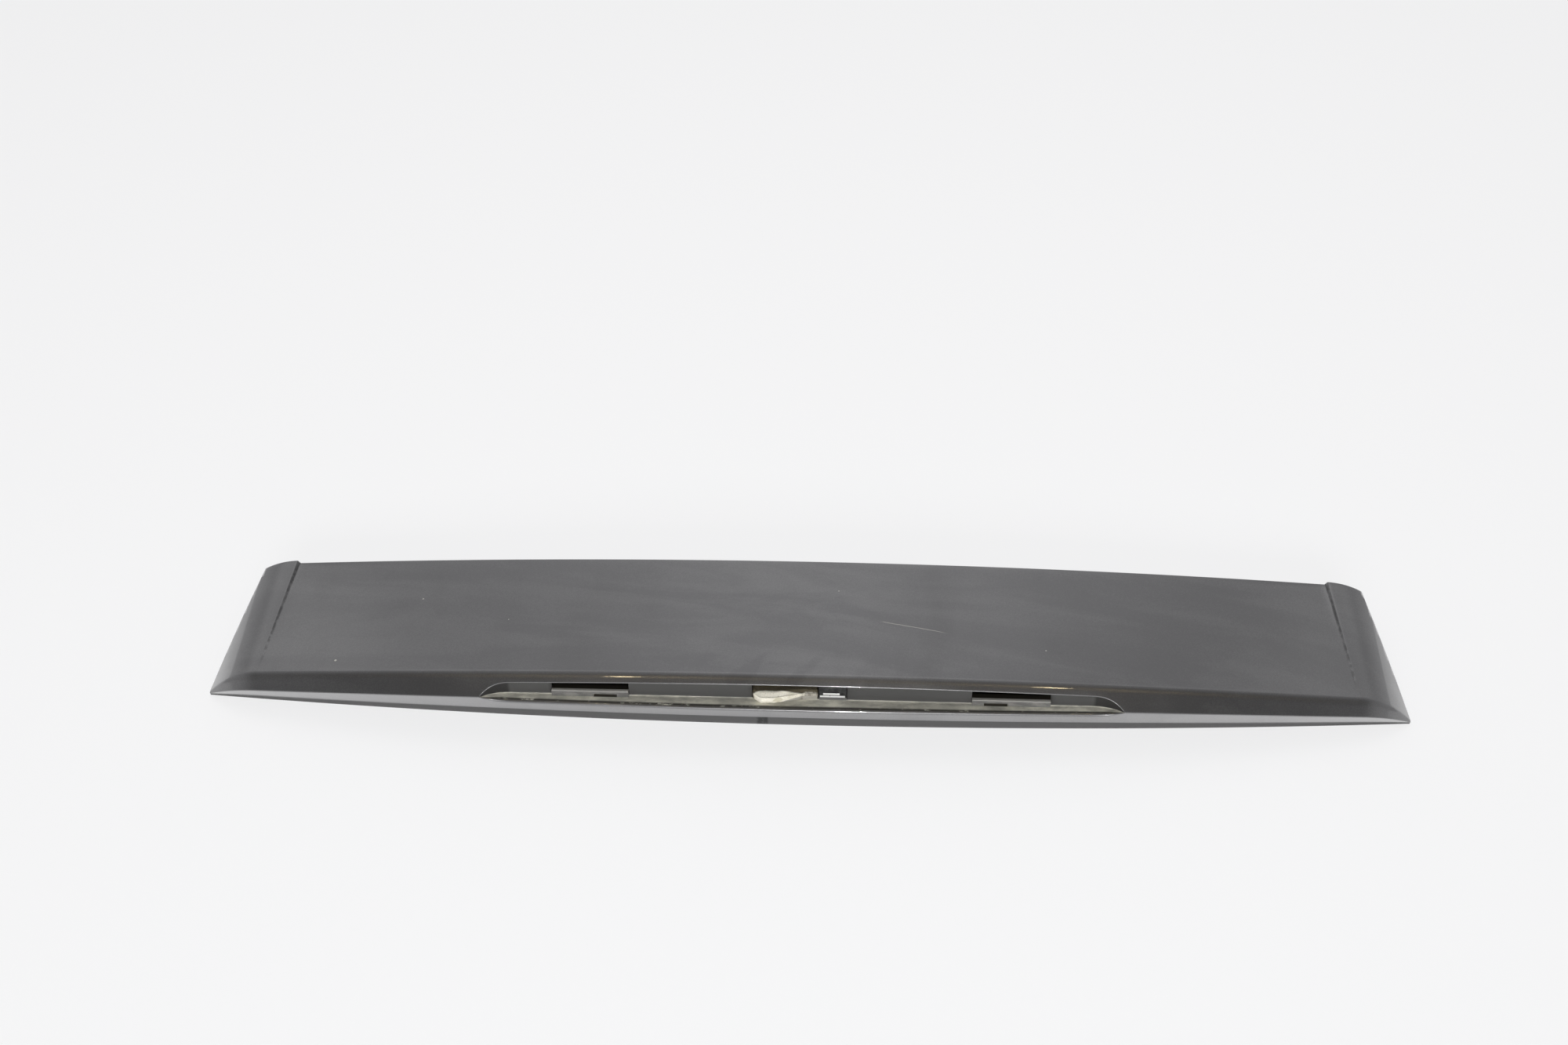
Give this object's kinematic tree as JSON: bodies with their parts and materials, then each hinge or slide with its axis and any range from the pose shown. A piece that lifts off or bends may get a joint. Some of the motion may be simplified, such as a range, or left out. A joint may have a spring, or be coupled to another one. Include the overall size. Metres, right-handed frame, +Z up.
{
  "type": "rear spoiler",
  "caption": "Crowned tailgate roof spoiler with raised end strips, an undercut trailing edge and an empty brake lamp recess, closed below by a bonded inner shell with studs.",
  "frame": {"origin": "under the middle of the bounding box, on the surface that the wing tips and outer studs rest on", "axes": "+X across the car, +Y towards the leading edge, +Z up; the trailing edge with the lamp recess faces -Y"},
  "size_m": [1.16, 0.2034, 0.0834],
  "materials": {
    "grey_paint": "dark grey metallic paint under clear coat",
    "black_moulding": "fine grained",
    "grey_moulding": "satin, dusty",
    "cream_foam": "soft open foam",
    "black_gloss": "gloss",
    "plated_steel": "zinc plated",
    "black_rubber": "matte",
    "white_nylon": "satin"
  },
  "bodies": {
    "root": {"outer_skin": "grey_paint", "inner_shell": "black_moulding", "lamp_catch_left": "grey_moulding", "lamp_catch_right": "grey_moulding", "foam_block": "cream_foam", "connector_block": "black_gloss", "mounting_studs": "plated_steel", "stud_seals": "black_rubber", "push_clips": "white_nylon", "wiring_grommet": "black_rubber", "leading_seal": "black_rubber"}
  },
  "joints": []
}
